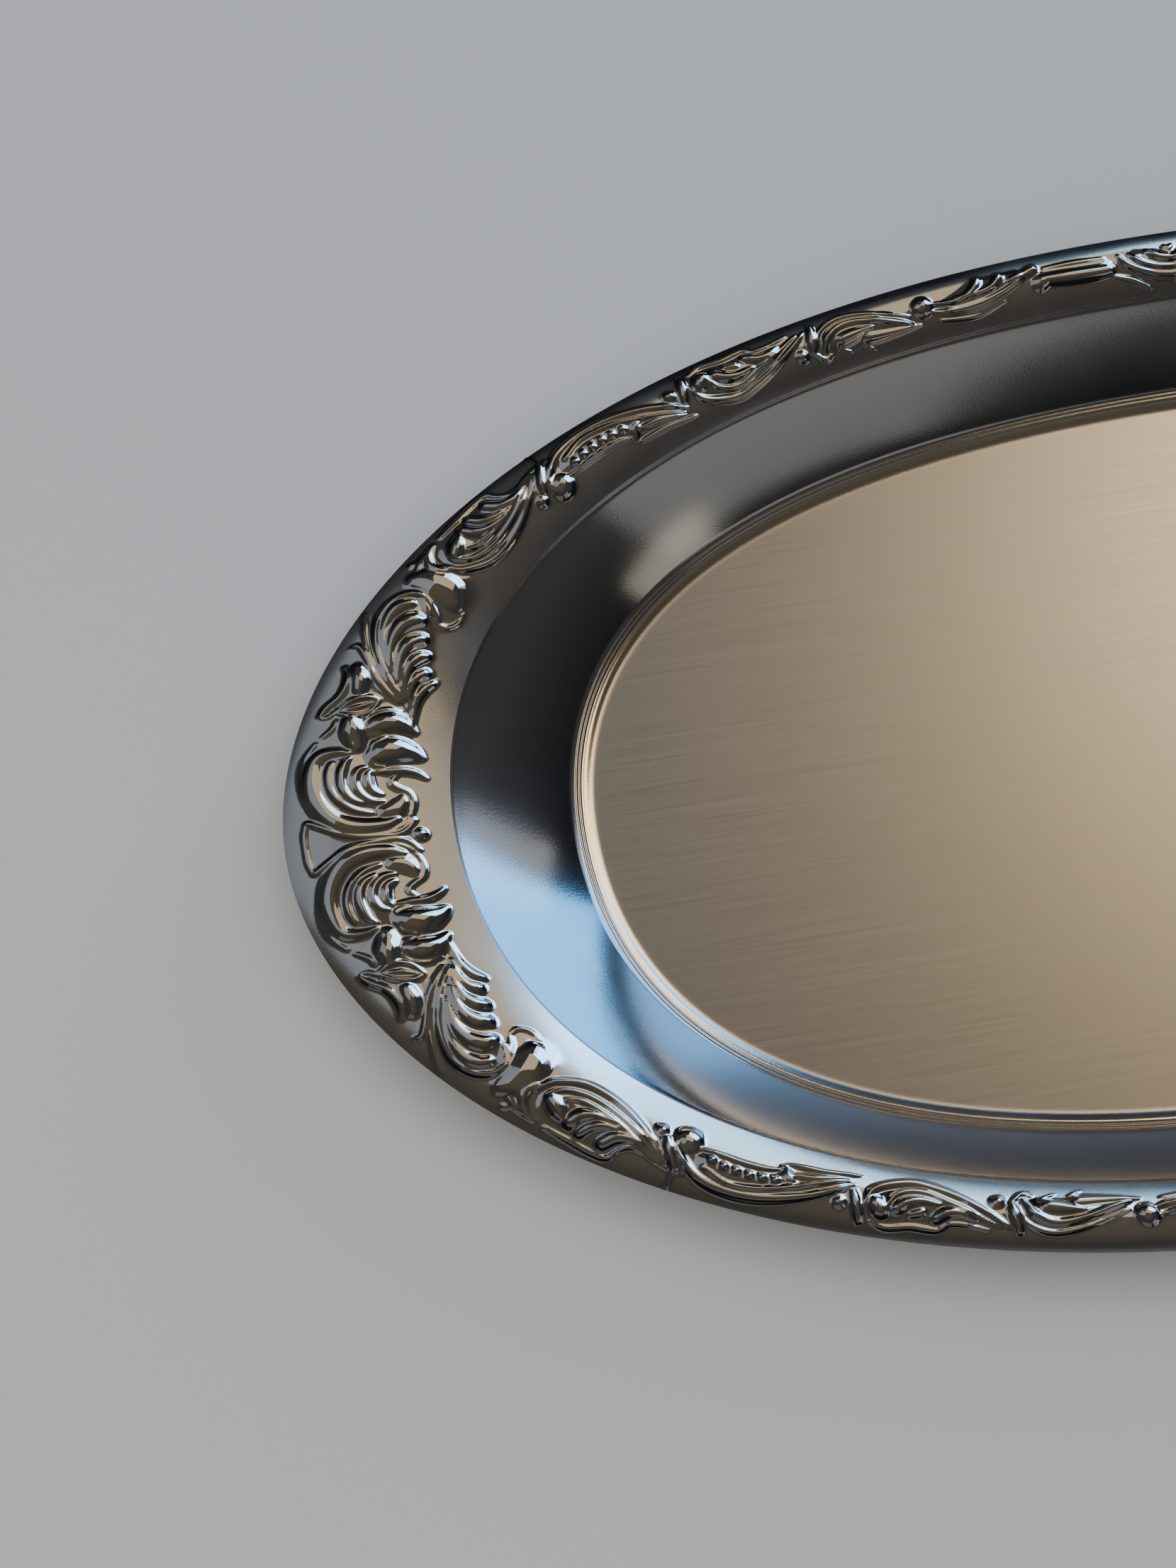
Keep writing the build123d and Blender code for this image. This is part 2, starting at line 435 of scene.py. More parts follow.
# %% [markdown]
# The fifth leaf runs low and thin towards the ribbon in the middle.

# %% The fifth leaf
FIFTH_LEAF = [
    (1.05, [
        (34.6, 87.2, 0.35), (32, 86.8, 0.6), (28, 87, 0.7), (24, 87.8, 0.68), (20, 89.2, 0.6),
        (17, 90.7, 0.48), (14.8, 92.2, 0.25),
    ]),
    (1, [(34, 88.6, 0.3), (30, 88.5, 0.5), (27.3, 89.4, 0.6), (25.7, 90.8, 0.72), (25, 92.1, 0.8)]),
    (1, [(30, 89.1, 0.25), (26, 89.3, 0.45), (23, 90, 0.58), (21.5, 91.1, 0.7), (20.8, 92.2, 0.8)]),
    (1.1, [(19, 91, 0.3), (16.5, 91.7, 0.75), (14, 92.7, 1)]),
    (0.35, [(33, 85.5, 0.3), (26, 85.6, 0.35), (20, 87.5, 0.2)]),
]
print(f"the fifth leaf: {len(FIFTH_LEAF)} strokes")

# %% [markdown]
# A plain ribbon, with one fine line beside it, leads to the crown.

# %% The ribbon
RIBBON = [
    (1, [(13.2, 89.6, 1.3), (12.8, 89.7, 1.3)]),
    (0.9, [(11.6, 90.2, 0.9), (8, 90.1, 1.15), (3, 90.1, 1.15), (-0.8, 90.3, 0.9)]),
    (0.5, [(11.8, 92.6, 0.3), (6, 92.9, 0.45), (0, 92.9, 0.3)]),
    (0.8, [(-1.6, 89.1, 0.4), (-5, 88, 0.55), (-8, 86.6, 0.25)]),
]
print(f"the ribbon: {len(RIBBON)} strokes")

# %% [markdown]
# Nested arches make a small crown in the middle of each long side. The strokes run a little past
# the short axis, where the mirror image takes over.

# %% The crown in the middle
CROWN = [
    (1.15, [
        (-2.8, 92.9, 0.35), (-4.5, 90.7, 0.6), (-7, 89.3, 0.72), (-10, 88.5, 0.75),
        (-15.3, 88, 0.78), (-20, 88.4, 0.75),
    ]),
    (0.8, [
        (-4.8, 92.9, 0.25), (-6.5, 91.2, 0.45), (-9, 90.1, 0.5), (-12, 89.6, 0.5),
        (-15.3, 89.5, 0.5), (-19, 89.7, 0.5),
    ]),
    (0.95, [
        (-8.3, 92.8, 0.5), (-10.8, 91.4, 0.68), (-13.3, 91, 0.68), (-15.3, 90.9, 0.7),
        (-18, 91.1, 0.6),
    ]),
    (0.8, [(-12, 93.5, 0.4), (-13.6, 92.6, 0.6), (-15.3, 92.4, 0.65), (-17.3, 92.6, 0.6)]),
]
print(f"the crown in the middle: {len(CROWN)} strokes")

# %% [markdown]
# Six round beads lie between the edges of the beaded leaf, like shot that was punched one
# by one. A bead is a stroke that is too short to see as a line, so only its place is needed.

# %% The row of beads
BEAD_HEIGHT, BEAD_RADIUS = 0.95, 0.75
BEAD_PLACES = [(106.6, 66.8), (104.9, 68.2), (103, 69.3), (101, 70.4), (98.9, 71.2), (96.8, 72)]
print(f"{len(BEAD_PLACES)} beads")

# %% [markdown]
# Under the fine ridges the metal itself swells a little, because the die is cut as low hills
# first and the lines are cut into the hills. These broad strokes are the hills. They are drawn
# like the others, with half widths of several millimetres.

# %% The swells under the ridges
SWELLS = [
    (0.55, [(157.5, 9.5, 5.5), (157, 12, 5.5)]),
    (0.55, [(149, 16, 4), (148.5, 21, 3.6)]),
    (0.45, [(155.5, 22, 3), (153, 30, 2.6)]),
    (0.65, [(144.5, 27, 2), (143.5, 34, 4.4), (141.8, 41, 4.6)]),
    (0.45, [(136.5, 47, 4.5), (133.5, 45, 4.5)]),
    (0.65, [(130.5, 52.5, 3.4), (125, 56.5, 3.8), (118.5, 61, 2.4)]),
    (0.4, [(114, 62, 2), (113, 66, 2)]),
    (0.6, [(107, 67.5, 2.6), (101.5, 71.3, 2.8), (94, 73.5, 2.4), (86.5, 74.3, 1.6)]),
    (0.6, [(80.5, 79.2, 2.4), (74.5, 80, 2.8), (66.5, 83, 2)]),
    (0.6, [(54, 84.5, 2.2), (47, 85.8, 2.2), (40, 85.8, 1.4)]),
    (0.6, [(31, 88, 1.6), (25, 90, 2.2), (17.5, 91.6, 1.6)]),
    (0.45, [(12, 90.6, 1.8), (0, 90.8, 1.8)]),
    (0.65, [(-6.5, 91.5, 2.2), (-11, 91, 2.4), (-15.3, 90.8, 2.4), (-20, 91, 2.4)]),
]
print(f"{len(SWELLS)} swells")

# %% [markdown]
# A few points are enough for a flowing ridge, if a smooth line is drawn through them. The line
# used here passes through every point, and it bends with its neighbours in mind. The half width
# is carried along as a third coordinate, so it changes as smoothly as the place.

# %% A smooth line through a stroke's points
LINE_STEP = 0.25
THINNEST = 0.12


def smooth_line(points):
    """Closely spaced (x, y, half width) along a curve through the points."""
    line = np.array(points, float)
    extended = np.vstack([2 * line[0] - line[1], line, 2 * line[-1] - line[-2]])
    runs = []
    for a, b, c, d in zip(extended, extended[1:], extended[2:], extended[3:]):
        count = max(2, int(np.hypot(*(c - b)[:2]) / LINE_STEP))
        t = np.linspace(0, 1, count, endpoint=False)[:, None]
        bend_2 = 2 * a - 5 * b + 4 * c - d
        bend_3 = 3 * b - 3 * c + d - a
        runs.append(0.5 * (2 * b + (c - a) * t + bend_2 * t * t + bend_3 * t**3))
    smooth = np.vstack([*runs, line[-1:]])
    smooth[:, 2] = np.maximum(smooth[:, 2], THINNEST)
    return smooth


print(f"the great scroll is a line of {len(smooth_line(SCROLL[0][1]))} points")

# %% [markdown]
# Each stroke is laid over the grid of the rim as a ridge with a rounded top. Where strokes cross,
# the heights shouldn't add up, and a plain maximum would leave a hard crease. So the fourth
# powers are added, and the fourth root is taken at the end: the taller ridge wins and the join
# is a small fillet. A thin ridge gets a wide soft foot, and a fat one is round.

# %% Lay one stroke
WIDEST_REACH = 1.6
THIN_HALF, FAT_RANGE = 0.5, 1.2
THIN_REACH, REACH_LOSS = 1.55, 0.35
FOOT_SOFTNESS = 0.9


def span(line, margin):
    """The middle of a run of numbers, and half its length with a margin."""
    return (line.min() + line.max()) / 2, np.ptp(line) / 2 + margin


def lay(x, y, fourth_powers, tall, points, crisp=1.0):
    """Adds one stroke to the sum of fourth powers, at the points x and y of the drawing."""
    line = smooth_line(points)
    widest = line[:, 2].max()
    middle_x, reach_x = span(line[:, 0], WIDEST_REACH * widest)
    middle_y, reach_y = span(line[:, 1], WIDEST_REACH * widest)
    near = (abs(x - middle_x) < reach_x) & (abs(y - middle_y) < reach_y)
    if not near.any():
        return
    at_x, at_y = x[near], y[near]
    best = np.zeros(at_x.shape)
    for a, b in zip(line, line[1:]):
        step = b[:2] - a[:2]
        along = (at_x - a[0]) * step[0] + (at_y - a[1]) * step[1]
        t = np.clip(along / max((step**2).sum(), 1e-9), 0, 1)
        half = a[2] + t * (b[2] - a[2])
        fat = np.clip((half - THIN_HALF) / FAT_RANGE, 0, 1)
        reach = half * (THIN_REACH - REACH_LOSS * fat)
        away = (at_x - a[0] - t * step[0]) ** 2 + (at_y - a[1] - t * step[1]) ** 2
        profile = np.maximum(1 - away / reach**2, 0) ** (crisp + FOOT_SOFTNESS * (1 - fat))
        best = np.maximum(best, profile * np.sqrt(np.minimum(1, half / widest)))
    fourth_powers[near] += (tall * best) ** 4


print(f"a ridge reaches up to {WIDEST_REACH} times its half width")

# %% [markdown]
# The relief is all the strokes, the beads and the swells together. The ridges and the swells are
# kept apart until the end, so that a ridge rides on its swell instead of drowning in it. Both
# are scaled down to the depth that so thin a sheet can take.

# %% The whole relief
MOTIFS = (
    FAN, SCROLL, FINGERS, ALMOND, LILY, FIRST_LEAF, SECOND_LEAF, FIRST_COLLAR, BEADED_LEAF,
    SECOND_COLLAR, THIRD_LEAF, THIRD_COLLAR, FOURTH_LEAF, FIFTH_LEAF, RIBBON, CROWN,
)
RIDGE_SHARE, SWELL_SHARE = 0.68, 0.85
SWELL_CRISPNESS = 1.8


def relief(x, y):
    """Height of the ornament over the plain rim, in millimetres."""
    ridges = np.zeros(x.shape)
    for tall, points in (stroke for motif in MOTIFS for stroke in motif):
        lay(x, y, ridges, tall, points)
    for bead_x, bead_y in BEAD_PLACES:
        dot = [(bead_x, bead_y, BEAD_RADIUS), (bead_x + 0.01, bead_y, BEAD_RADIUS)]
        lay(x, y, ridges, BEAD_HEIGHT, dot)
    swells = np.zeros(x.shape)
    for tall, points in SWELLS:
        lay(x, y, swells, tall, points, crisp=SWELL_CRISPNESS)
    return RIDGE_SHARE * ridges**0.25 + SWELL_SHARE * swells**0.25


print(f"{sum(len(motif) for motif in MOTIFS)} strokes in {len(MOTIFS)} motifs")

# %% [markdown]
# The rim is worked out as a grid of points: columns run round the tray and rows run across the
# rim. One quarter is enough, because the other three are its mirror images. The columns are
# spread evenly along the rim, so that the ornament is equally fine everywhere.

# %% Rows and columns of one quarter of the rim
COLUMNS = 440
OUTER_ROWS, MOTIF_ROWS, INNER_ROWS = 6, 68, 9
MOTIFS_START, MOTIFS_END = 0.08, 0.90


def spread_evenly(count):
    """Values of t that divide the middle of the rim into equal lengths."""
    fine = np.linspace(0, 1, 4001)
    middle = (oval(*edge[:2], EDGE_HANDLES, fine) + oval(*lip[:2], STEP_HANDLES, fine)) / 2
    run = np.concatenate([[0], np.cumsum(np.linalg.norm(np.diff(middle, axis=0), axis=1))])
    return np.interp(np.linspace(0, run[-1], count), run, fine), run[-1]


columns, quarter_run = spread_evenly(2 * COLUMNS + 1)
rows = np.concatenate([
    np.linspace(0, MOTIFS_START, OUTER_ROWS, endpoint=False),
    np.linspace(MOTIFS_START, MOTIFS_END, MOTIF_ROWS, endpoint=False),
    np.linspace(MOTIFS_END, 1, INNER_ROWS),
])
print(f"{len(rows)} rows, a column every {quarter_run / (2 * COLUMNS):.2f} mm")

# %% [markdown]
# Without its ornament the rim is a low arch: it climbs from the trimmed edge to a crest, runs
# level for a millimetre, and falls to the lip, more and more steeply. A straight blend between
# two rings would give a flat cone, so the fall follows a curve of the run.

# %% The plain rim under the ornament
CREST_ROW, SLOPE_ROW = 0.31, 0.36
STEEPENING = 1.6


def ring_points(level, t):
    """The oval at this level as points in space."""
    flat = oval(level[0], level[1], level[3], t)
    return np.concatenate([flat, np.full((len(t), 1), level[2])], axis=1)


def between(a, b, along, down):
    """Points between two rings: along is the share of the run, down the share of the fall."""
    share = np.array([along, along, down])
    return a + (b - a) * share


def plain_rim(t, v):
    """The rim's upper face, for every column t and every row v."""
    rings = [ring_points(level, t) for level in (edge, crest, crest_inner, lip)]
    face = np.zeros((len(t), len(v), 3))
    for row, across in enumerate(v):
        if across < CREST_ROW:
            s = across / CREST_ROW
            face[:, row] = between(rings[0], rings[1], s, s * (2 - s))
        elif across < SLOPE_ROW:
            s = (across - CREST_ROW) / (SLOPE_ROW - CREST_ROW)
            face[:, row] = between(rings[1], rings[2], s, s)
        else:
            s = (across - SLOPE_ROW) / (1 - SLOPE_ROW)
            face[:, row] = between(rings[2], rings[3], s, s**STEEPENING)
    return face


quarter = plain_rim(columns, rows)
print(f"plain rim from z {quarter[..., 2].min():.1f} to {quarter[..., 2].max():.1f} mm")

# %% [markdown]
# The drawing is shorter than the tray, so each point of the rim first finds its place on the
# drawing. The shift is largest at the tip and gets a little smaller along the side. Its size
# depends on the place that is being looked for, so a few rounds of correction settle it.

# %% Emboss the quarter
DRAWING_SHIFT = 14.9
ROUNDS = 6
TIP_X, SIDE_X, WIDE_Y = 166, 60, 90
TIP_NARROWING, SIDE_NARROWING = 0.009, 0.0085
SHRINK, SHRINK_POWER = 1.3, 1.4


def drawing_place(x, y):
    """Where a point of the rim lies on the flat drawing of the ornament."""
    drawn_x, drawn_y = x - DRAWING_SHIFT, y
    for _ in range(ROUNDS):
        narrowing = TIP_NARROWING * (TIP_X - drawn_x)
        narrowing += SIDE_NARROWING * np.maximum(SIDE_X - drawn_x, 0)
        drawn_x = x - DRAWING_SHIFT + narrowing
        drawn_y = y - SHRINK * (drawn_y / WIDE_Y) ** SHRINK_POWER
    return drawn_x, drawn_y


heights = relief(*drawing_place(quarter[..., 0], quarter[..., 1]))
print(f"ornament up to {heights.max():.2f} mm")

# %% [markdown]
# Four mirrored quarters make the whole ring. The direction square to the sheet comes from the
# neighbours of each point.

# %% Helpers for a whole ring
def whole_ring(values, flip_x=1.0, flip_y=1.0):
    """Goes round the rim once, against the clock, from one quarter's columns."""
    signs = [(1, 1), (flip_x, 1), (flip_x, flip_y), (1, flip_y)]
    parts = []
    for index, (sign_x, sign_y) in enumerate(signs):
        part = values if index % 2 == 0 else values[::-1]
        if values.ndim == 3:
            part = part * np.array([sign_x, sign_y, 1])
        parts.append(part[:-1])
    return np.concatenate(parts)


def square_to(face):
    """Unit directions square to a face of the ring, upwards."""
    along = np.roll(face, -1, axis=0) - np.roll(face, 1, axis=0)
    across = np.gradient(face, axis=1)
    direction = np.cross(across, along)
    direction /= np.linalg.norm(direction, axis=-1, keepdims=True)
    return direction * np.sign(direction[..., 2:].mean())


def soften(values, rounds):
    """Averages a grid over its neighbours, round the ring and across it."""
    for _ in range(rounds):
        values = (np.roll(values, 1, axis=0) + 2 * values + np.roll(values, -1, axis=0)) / 4
        padded = np.pad(values, ((0, 0), (1, 1)), mode="edge")
        values = (padded[:, :-2] + 2 * values + padded[:, 2:]) / 4
    return values


plain = whole_ring(quarter, -1, -1)
print(f"ring of {len(plain)} columns")

# %% [markdown]
# The upper face is pushed out by the ornament's height. The lower face lies one sheet thickness
# under it and follows the ornament more softly, as pressed metal does, because the sheet
# bridges the finest lines. A third grid says where the metal will be polished: on the ornament
# and a little round it.

# %% The embossed sheet
UNDERSIDE_SHARE = 0.85
UNDERSIDE_ROUNDS = 12
ORNAMENT_FROM = 0.05
POLISH_ROUNDS = 14
POLISH_GAIN = 1.6

embossed = soften(whole_ring(heights), 1)
upward = square_to(plain)
upper = plain + upward * embossed[..., None]
sunk = UNDERSIDE_SHARE * soften(embossed, UNDERSIDE_ROUNDS) - SHEET
lower = plain + upward * sunk[..., None]
upper_normals, lower_normals = square_to(upper), -square_to(lower)
polish = soften((embossed > ORNAMENT_FROM).astype(float), POLISH_ROUNDS) * POLISH_GAIN
polish = np.clip(polish, 0, 1)
print(f"top of the ornament at {upper[..., 2].max():.1f} mm")

# %% [markdown]
# A piece of rim starts as a flat strip from create_grid. Solidify gives the strip a back and
# closes its sides while it is still flat. Eight pieces keep each mesh at a size that is easy to
# handle.

# %% A flat strip of sheet
PIECES = 8
piece_columns = len(upper) // PIECES


def flat_strip():
    """A closed strip: one square for each column and row, one unit thick."""
    bm = bmesh.new()
    bmesh.ops.create_grid(bm, x_segments=piece_columns, y_segments=len(rows) - 1, size=0.5)
    bmesh.ops.scale(bm, vec=(piece_columns, len(rows) - 1, 1), verts=bm.verts)
    bmesh.ops.translate(bm, vec=(piece_columns / 2, (len(rows) - 1) / 2, 0), verts=bm.verts)
    bmesh.ops.solidify(bm, geom=bm.faces[:], thickness=1)
    mesh = bpy.data.meshes.new("flat_strip")
    bm.to_mesh(mesh)
    bm.free()
    return mesh


strip = flat_strip()
flat = np.zeros(len(strip.vertices) * 3)
strip.vertices.foreach_get("co", flat)
flat = flat.reshape(-1, 3)
strip_column = np.rint(flat[:, 0]).astype(int)
strip_row = np.rint(flat[:, 1]).astype(int)
on_upper = flat[:, 2] > -0.5
print(f"strip of {len(strip.polygons)} faces, thick {np.ptp(flat[:, 2]):.1f}")

# %% [markdown]
# Now every point of the strip knows its column, its row and its side of the sheet, so it can be
# moved to its place on the ring. The shading directions come from the ring as well: eight
# separate meshes would otherwise show seams where they meet.

# %% Shading directions for a piece
def pick(upper_part, lower_part):
    """For each point of the strip, the value from its own face of the sheet."""
    from_upper = upper_part[strip_column, strip_row]
    from_lower = lower_part[strip_column, strip_row]
    return np.where(on_upper[:, None], from_upper, from_lower)


def corner_normals(mesh, upper_part, lower_part):
    """For each face corner, the ring's own normal, or the face's where it closes a side."""
    corners = np.zeros(len(mesh.loops), dtype=int)
    mesh.loops.foreach_get("vertex_index", corners)
    normals = pick(upper_part, lower_part)[corners]
    flat_normals = np.zeros(len(mesh.polygons) * 3)
    mesh.polygons.foreach_get("normal", flat_normals)
    per_corner = np.repeat(flat_normals.reshape(-1, 3), 4, axis=0)
    sides = on_upper[corners].reshape(-1, 4)
    closing = np.repeat(sides.any(axis=1) & ~sides.all(axis=1), 4)
    normals[closing] = per_corner[closing]
    return normals


strip_triangles = 2 * len(strip.polygons)
print(f"{strip_triangles} triangles in a piece")

# %% [markdown]
# A copy of the strip is laid on each eighth of the ring. The polish is stored on the points, so
# that the material can read it later. The flat strip itself is then thrown away.

# %% Lay the strip on the ring, eight times
def rim_piece(index):
    """One eighth of the embossed rim, closed all round."""
    wanted = (index * piece_columns + np.arange(piece_columns + 1)) % len(upper)
    mesh = strip.copy()
    mesh.name = f"rim_{index + 1}"
    mesh.vertices.foreach_set("co", (pick(upper[wanted], lower[wanted]) * mm).ravel())
    mesh.update()
    mesh.shade_smooth()
    shine = mesh.attributes.new("polish", "FLOAT", "POINT")
    shine.data.foreach_set("value", polish[wanted][strip_column, strip_row])
    normals = corner_normals(mesh, upper_normals[wanted], lower_normals[wanted])
    mesh.normals_split_custom_set(normals)
    piece = bpy.data.objects.new(f"rim_{index + 1}", mesh)
    bpy.context.collection.objects.link(piece)
    return piece


rim_pieces = [rim_piece(index) for index in range(PIECES)]
bpy.data.meshes.remove(strip)
print(f"{len(rim_pieces)} rim pieces, {len(rim_pieces) * strip_triangles} triangles together")

# %% [markdown]
# The well is what the rim holds: step, wall, foot, ledge and base. It has no ornament, so its
# rows are only the bends of the pressing. Each bend is a short arc, because sheet metal doesn't
# fold to a knife edge. Two fine ridges run round the foot and stiffen it.

# %% The bends of the well
WALL_ROWS = 22
WALL_SWELL = 0.05
STEP_ROWS, FOOT_ROWS, LEDGE_ROWS = 7, 17, 9
FINE_RIDGE = 0.13
BASE_ROWS = (0, 0.006, 0.1, 0.3, 0.6, 1.0)
BASE_RING = 0.04


def blended(a, b, along, down):
    """A level between two levels, handles included."""
    half_x = a[0] + (b[0] - a[0]) * along
    half_y = a[1] + (b[1] - a[1]) * along
    handles = tuple(p + (q - p) * along for p, q in zip(a[3], b[3]))
    return half_x, half_y, a[2] + (b[2] - a[2]) * down, handles


def bend(a, b, count):
    """An S-shaped change of level, as the small steps of the pressing have."""
    return [blended(a, b, s, (1 - cos(pi * s)) / 2) for s in np.linspace(0, 1, count)]


def swelling_wall():
    """The sloping wall, which stands a little over a straight slope."""
    shares = np.linspace(0, 1, WALL_ROWS)
    return [blended(step_foot, wall_foot, s, s - WALL_SWELL * 4 * s * (1 - s)) for s in shares]


def beaded_foot():
    """The foot's two fine ridges, on its own gentle slope."""
    beads = []
    for s in np.linspace(0, 1, FOOT_ROWS):
        x, y, z, handles = blended(wall_foot, foot, s, s)
        beads.append((x, y, z + FINE_RIDGE * sin(2 * pi * s) ** 2, handles))
    return beads


base_middle = (base[0] * BASE_RING, base[1] * BASE_RING, SHEET, BASE_HANDLES)
levels = [
    *bend(lip, step_foot, STEP_ROWS),
    *swelling_wall()[1:-1],
    *beaded_foot(),
    *bend(foot, base, LEDGE_ROWS)[1:-1],
    *(blended(base, base_middle, s, s) for s in BASE_ROWS),
]
print(f"{len(levels)} levels in the well")

# %% [markdown]
# The rows run from the middle of the underside out to the lip and back over the upper face to
# the middle. One wrapped grid can then be bent into the whole shell, and only the two small
# holes in the middle are left to fill. Revolving a profile would be simpler, but it gives
# circles, and these ovals change their shape from the lip to the base.

# %% Make the well
WELL_COLUMNS = 960
SHARP_BEND = 50


def well_faces():
    """The well's upper face and underside, as grids of points: column, row."""
    quarter_t = np.linspace(0, 1, WELL_COLUMNS // 4 + 1)
    top = np.stack([ring_points(level, quarter_t) for level in levels], axis=1)
    top = whole_ring(top, -1, -1)
    under = top - square_to(top) * SHEET
    under[:, -len(BASE_ROWS):, 2] = 0
    return top, under


def well_mesh():
    """A closed shell of the well: a wrapped grid with its two middles filled."""
    top, under = well_faces()
    section = np.concatenate([under[:, ::-1], top], axis=1)
    section = np.concatenate([section, section[:1]], axis=0)
    bm = bmesh.new()
    across, along = section.shape[0] - 1, section.shape[1] - 1
    bmesh.ops.create_grid(bm, x_segments=across, y_segments=along, size=0.5)
    bm.verts.ensure_lookup_table()
    for vert, place in zip(bm.verts, section.transpose(1, 0, 2).reshape(-1, 3)):
        vert.co = Vector(place) * mm
    bmesh.ops.remove_doubles(bm, verts=bm.verts, dist=0.0001 * mm)
    bmesh.ops.holes_fill(bm, edges=[e for e in bm.edges if e.is_boundary], sides=0)
    bmesh.ops.recalc_face_normals(bm, faces=bm.faces)
    mesh = bpy.data.meshes.new("well")
    bm.to_mesh(mesh)
    bm.free()
    mesh.shade_smooth()
    mesh.set_sharp_from_angle(angle=radians(SHARP_BEND))
    return mesh


well = bpy.data.objects.new("well", well_mesh())
bpy.context.collection.objects.link(well)
print(f"well of {len(well.data.polygons)} faces")

# %% [markdown]
# One metal serves both kinds of piece, because it is one sheet, but it has three finishes. The
# press and the polishing mop leave the ornament bright. The plain margin beside it and the wall
# keep a satin skin with a very fine orange-peel grain. The base is brushed along the tray. The
# recipes below are made of nodes, and this small class makes them short to write.

# %% A helper for the materials
STEEL = (0.62, 0.62, 0.63, 1)


class Recipe:
    """A steel material's nodes, joined by short calls."""

    def __init__(self, name):
        self.material = bpy.data.materials.new(name)
        self.material.use_nodes = True
        self.nodes = self.material.node_tree.nodes
        self.links = self.material.node_tree.links
        self.shader = self.nodes["Principled BSDF"]
        self.shader.inputs["Base Color"].default_value = STEEL
        self.shader.inputs["Metallic"].default_value = 1

    def node(self, kind, **settings):
        made = self.nodes.new(kind)
        for key, value in settings.items():
            setattr(made, key, value)
        return made

    def join(self, source, target):
        self.links.new(source, target)

    def noise(self, stretch, scale, detail):
        """Noise on the object's own coordinates, stretched by a factor for each axis."""
        where = self.node("ShaderNodeTexCoord")
        mapping = self.node("ShaderNodeMapping")
        mapping.inputs["Scale"].default_value = stretch
        self.join(where.outputs["Object"], mapping.inputs["Vector"])
        made = self.node("ShaderNodeTexNoise")
        made.inputs["Scale"].default_value = scale
        made.inputs["Detail"].default_value = detail
        self.join(mapping.outputs["Vector"], made.inputs["Vector"])
        return made.outputs["Fac"]

    def remap(self, value, source, target):
        """Stretches the range from source to target. Both are pairs of numbers."""
        made = self.node("ShaderNodeMapRange")
        for name, number in zip(("From Min", "From Max", "To Min", "To Max"), (*source, *target)):
            made.inputs[name].default_value = number
        self.join(value, made.inputs["Value"])
        return made.outputs["Result"]

    def mix(self, share, when_0, when_1):
        made = self.node("ShaderNodeMix", data_type="FLOAT")
        for socket, value in zip(made.inputs, (share, None, when_0, when_1)):
            if value is not None:
                self.join(value, socket)
        return made.outputs[0]

    def bump(self, height_value, depth, strength):
        made = self.node("ShaderNodeBump")
        made.inputs["Distance"].default_value = depth
        self.join(strength, made.inputs["Strength"])
        self.join(height_value, made.inputs["Height"])
        return made


EVEN = (1, 1, 1)
NOISE_MIDDLE = (0.3, 0.7)
SKIN_SCALE, SKIN_DETAIL = 2600, 3
SKIN_DEPTH = 0.00002
print(f"the satin skin is {SKIN_DEPTH / mm * 1000:.0f} micrometres deep")

# %% [markdown]
# On the rim the stored polish decides. Where it is 1, the metal is nearly a mirror and smooth.
# Where it is 0, the metal is satin, with its skin. A slow cloudy noise varies both a little, as
# hand polishing does.

# %% The stamped rim: polished ornament and satin margins
MARGIN_ROUGHNESS = (0.17, 0.25)
MARGIN_GRAIN = 0.35
ORNAMENT_ROUGHNESS = (0.04, 0.08)


def stamped_steel():
    recipe = Recipe("stamped_steel")
    polished = recipe.node("ShaderNodeAttribute", attribute_name="polish").outputs["Fac"]
    skin = recipe.noise(EVEN, SKIN_SCALE, SKIN_DETAIL)
    cloud = recipe.noise(EVEN, scale=60, detail=2)
    satin = recipe.remap(cloud, NOISE_MIDDLE, MARGIN_ROUGHNESS)
    bright = recipe.remap(cloud, NOISE_MIDDLE, ORNAMENT_ROUGHNESS)
    recipe.join(recipe.mix(polished, satin, bright), recipe.shader.inputs["Roughness"])
    grain = recipe.bump(skin, SKIN_DEPTH, recipe.remap(polished, (0, 1), (MARGIN_GRAIN, 0)))
    recipe.join(grain.outputs["Normal"], recipe.shader.inputs["Normal"])
    return recipe.material


rim_steel = stamped_steel()
for piece in rim_pieces:
    piece.data.materials.append(rim_steel)
print(f"{rim_steel.name} on {rim_steel.users} pieces")

# %% [markdown]
# The base is brushed: fine scratches along the tray, so a noise is squeezed across the tray and
# drawn out along it. The base is the lowest part, so the height above the table tells it from
# the wall. A painted mask would do too, but this one can't slip.

# %% The well: satin wall and brushed base
WALL_ROUGHNESS = (0.10, 0.15)
BASE_ROUGHNESS = (0.28, 0.38)
BASE_LEVEL = (0.00052, 0.0007)
HAIR_STRETCH = (10, 2200, 2200)
HAIR_DEPTH = 0.000006
WALL_GRAIN, BASE_GRAIN, HAIR_GRAIN = 0.3, 0.05, 0.6


